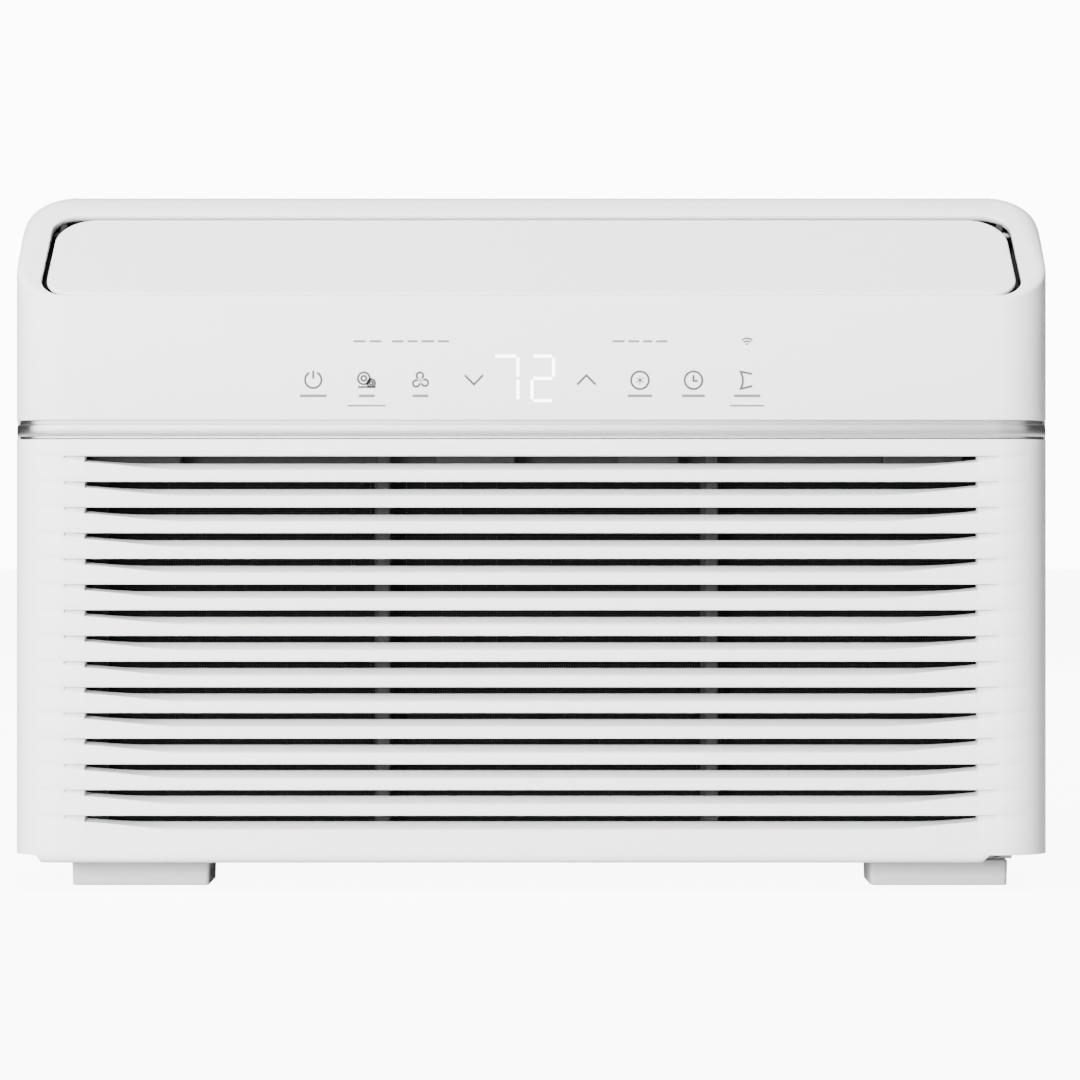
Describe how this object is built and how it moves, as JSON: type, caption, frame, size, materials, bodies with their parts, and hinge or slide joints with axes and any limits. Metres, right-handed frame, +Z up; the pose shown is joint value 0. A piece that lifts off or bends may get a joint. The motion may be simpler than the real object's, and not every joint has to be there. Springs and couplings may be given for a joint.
{
  "type": "window air conditioner",
  "caption": "Window air conditioner with a slatted intake grille, a touch panel, a top outlet flap that swings, and a louvred steel cabinet on feet.",
  "frame": {"origin": "bottom centre of the bounding box, on the surface that the feet stand on", "axes": "+Z up, the front grille faces -Y, +X to the right as seen from the front"},
  "size_m": [0.56, 0.56, 0.3785],
  "materials": {
    "white_plastic": "satin moulded white",
    "chrome_trim": "bright plated trim",
    "dark_plastic": "fine grain, charcoal",
    "grey_plastic": "satin mid grey",
    "filter_net": "fine woven net",
    "foam_white": "moulded bead foam",
    "coil_fin": "coated fin stock",
    "copper_pipe": "drawn copper, dull",
    "galvanised_steel": "zinc spangle",
    "painted_steel": "light grey powder coat",
    "black_steel": "black enamel",
    "zinc_screw": "zinc plated",
    "black_rubber": "matt",
    "motor_white": "semi gloss",
    "board_green": "lacquered",
    "display_black": "smooth"
  },
  "bodies": {
    "chassis": {"front_bezel": "white_plastic", "bottom_rail": "white_plastic", "trim_strip": "chrome_trim", "flap_motor": "motor_white", "intake_frame": "dark_plastic", "sensor_clip": "dark_plastic", "evaporator_fins": "coil_fin", "evaporator_tubes": "copper_pipe", "evaporator_end_plates": "galvanised_steel", "drain_tray": "grey_plastic", "fan_motor": "galvanised_steel", "motor_bracket": "galvanised_steel", "scroll_housing": "foam_white", "scroll_cover": "foam_white", "outlet_duct": "dark_plastic", "bulkhead": "galvanised_steel", "fan_shroud": "grey_plastic", "condenser_fins": "coil_fin", "condenser_tubes": "copper_pipe", "condenser_end_plates": "galvanised_steel", "compressor": "black_steel", "compressor_grommets": "black_rubber", "compressor_studs": "zinc_screw", "terminal_cover": "dark_plastic", "accumulator": "black_steel", "discharge_pipe": "copper_pipe", "suction_pipe": "copper_pipe", "filter_drier": "copper_pipe", "liquid_pipe": "copper_pipe", "capillary_tube": "copper_pipe", "control_board": "board_green", "display_module": "display_black", "electronics_box": "dark_plastic", "base_pan": "galvanised_steel", "cabinet": "painted_steel", "rear_guard": "painted_steel", "front_feet": "white_plastic", "rear_feet": "white_plastic", "bezel_screws": "zinc_screw", "cabinet_screws": "zinc_screw", "cord_gland": "black_rubber", "drain_plug": "black_rubber"},
    "fan_rotor": {"motor_shaft": "zinc_screw", "blower_wheel": "dark_plastic", "condenser_fan": "dark_plastic", "fan_nuts": "zinc_screw"},
    "flap": {"outlet_flap": "white_plastic", "flap_drive_shaft": "zinc_screw"},
    "grille": {"intake_grille": "white_plastic"},
    "filter": {"filter_frame": "dark_plastic", "filter_mesh": "filter_net"},
    "link": {"vane_link_bar": "grey_plastic"},
    "vane_1": {"air_vane_01": "dark_plastic"},
    "vane_2": {"air_vane_02": "dark_plastic"},
    "vane_3": {"air_vane_03": "dark_plastic"},
    "vane_4": {"air_vane_04": "dark_plastic"},
    "vane_5": {"air_vane_05": "dark_plastic"},
    "vane_6": {"air_vane_06": "dark_plastic"},
    "vane_7": {"air_vane_07": "dark_plastic"},
    "vane_8": {"air_vane_08": "dark_plastic"}
  },
  "joints": [
    {"name": "fan_spin", "type": "hinge", "parent": "chassis", "child": "fan_rotor", "pos_m": [-0.05, -0.05, 0.165], "axis": [0, 1, 0], "continuous": true},
    {"name": "flap_swing", "type": "hinge", "parent": "chassis", "child": "flap", "pos_m": [0, -0.21858, 0.3559], "axis": [-1, 0, 0], "range_deg": [0, 70]},
    {"name": "grille_tilt", "type": "hinge", "parent": "chassis", "child": "grille", "pos_m": [0, -0.2487, 0.0157], "axis": [1, 0, 0], "range_deg": [0, 25]},
    {"name": "filter_slide", "type": "slide", "parent": "chassis", "child": "filter", "axis": [1, 0, 0], "range_m": [0, 0.46]},
    {"name": "vane_turn_1", "type": "hinge", "parent": "chassis", "child": "vane_1", "pos_m": [-0.217, -0.188, 0.3235], "axis": [0, 0, 1], "range_deg": [-30, 30]},
    {"name": "vane_turn_2", "type": "hinge", "parent": "chassis", "child": "vane_2", "pos_m": [-0.155, -0.188, 0.3235], "axis": [0, 0, 1], "range_deg": [-30, 30]},
    {"name": "vane_turn_3", "type": "hinge", "parent": "chassis", "child": "vane_3", "pos_m": [-0.093, -0.188, 0.3235], "axis": [0, 0, 1], "range_deg": [-30, 30]},
    {"name": "vane_turn_4", "type": "hinge", "parent": "chassis", "child": "vane_4", "pos_m": [-0.031, -0.188, 0.3235], "axis": [0, 0, 1], "range_deg": [-30, 30]},
    {"name": "vane_turn_5", "type": "hinge", "parent": "chassis", "child": "vane_5", "pos_m": [0.031, -0.188, 0.3235], "axis": [0, 0, 1], "range_deg": [-30, 30]},
    {"name": "vane_turn_6", "type": "hinge", "parent": "chassis", "child": "vane_6", "pos_m": [0.093, -0.188, 0.3235], "axis": [0, 0, 1], "range_deg": [-30, 30]},
    {"name": "vane_turn_7", "type": "hinge", "parent": "chassis", "child": "vane_7", "pos_m": [0.155, -0.188, 0.3235], "axis": [0, 0, 1], "range_deg": [-30, 30]},
    {"name": "vane_turn_8", "type": "hinge", "parent": "chassis", "child": "vane_8", "pos_m": [0.217, -0.188, 0.3235], "axis": [0, 0, 1], "range_deg": [-30, 30]},
    {"name": "link_slide", "type": "slide", "parent": "chassis", "child": "link", "axis": [1, 0, 0], "range_m": [-0.0111, 0.0111]}
  ],
  "couplings": [
    {"joint": "vane_turn_2", "follows": "vane_turn_1", "ratio": 1},
    {"joint": "vane_turn_3", "follows": "vane_turn_1", "ratio": 1},
    {"joint": "vane_turn_4", "follows": "vane_turn_1", "ratio": 1},
    {"joint": "vane_turn_5", "follows": "vane_turn_1", "ratio": 1},
    {"joint": "vane_turn_6", "follows": "vane_turn_1", "ratio": 1},
    {"joint": "vane_turn_7", "follows": "vane_turn_1", "ratio": 1},
    {"joint": "vane_turn_8", "follows": "vane_turn_1", "ratio": 1},
    {"joint": "link_slide", "follows": "vane_turn_1", "m_per_rad": 0.021008}
  ]
}
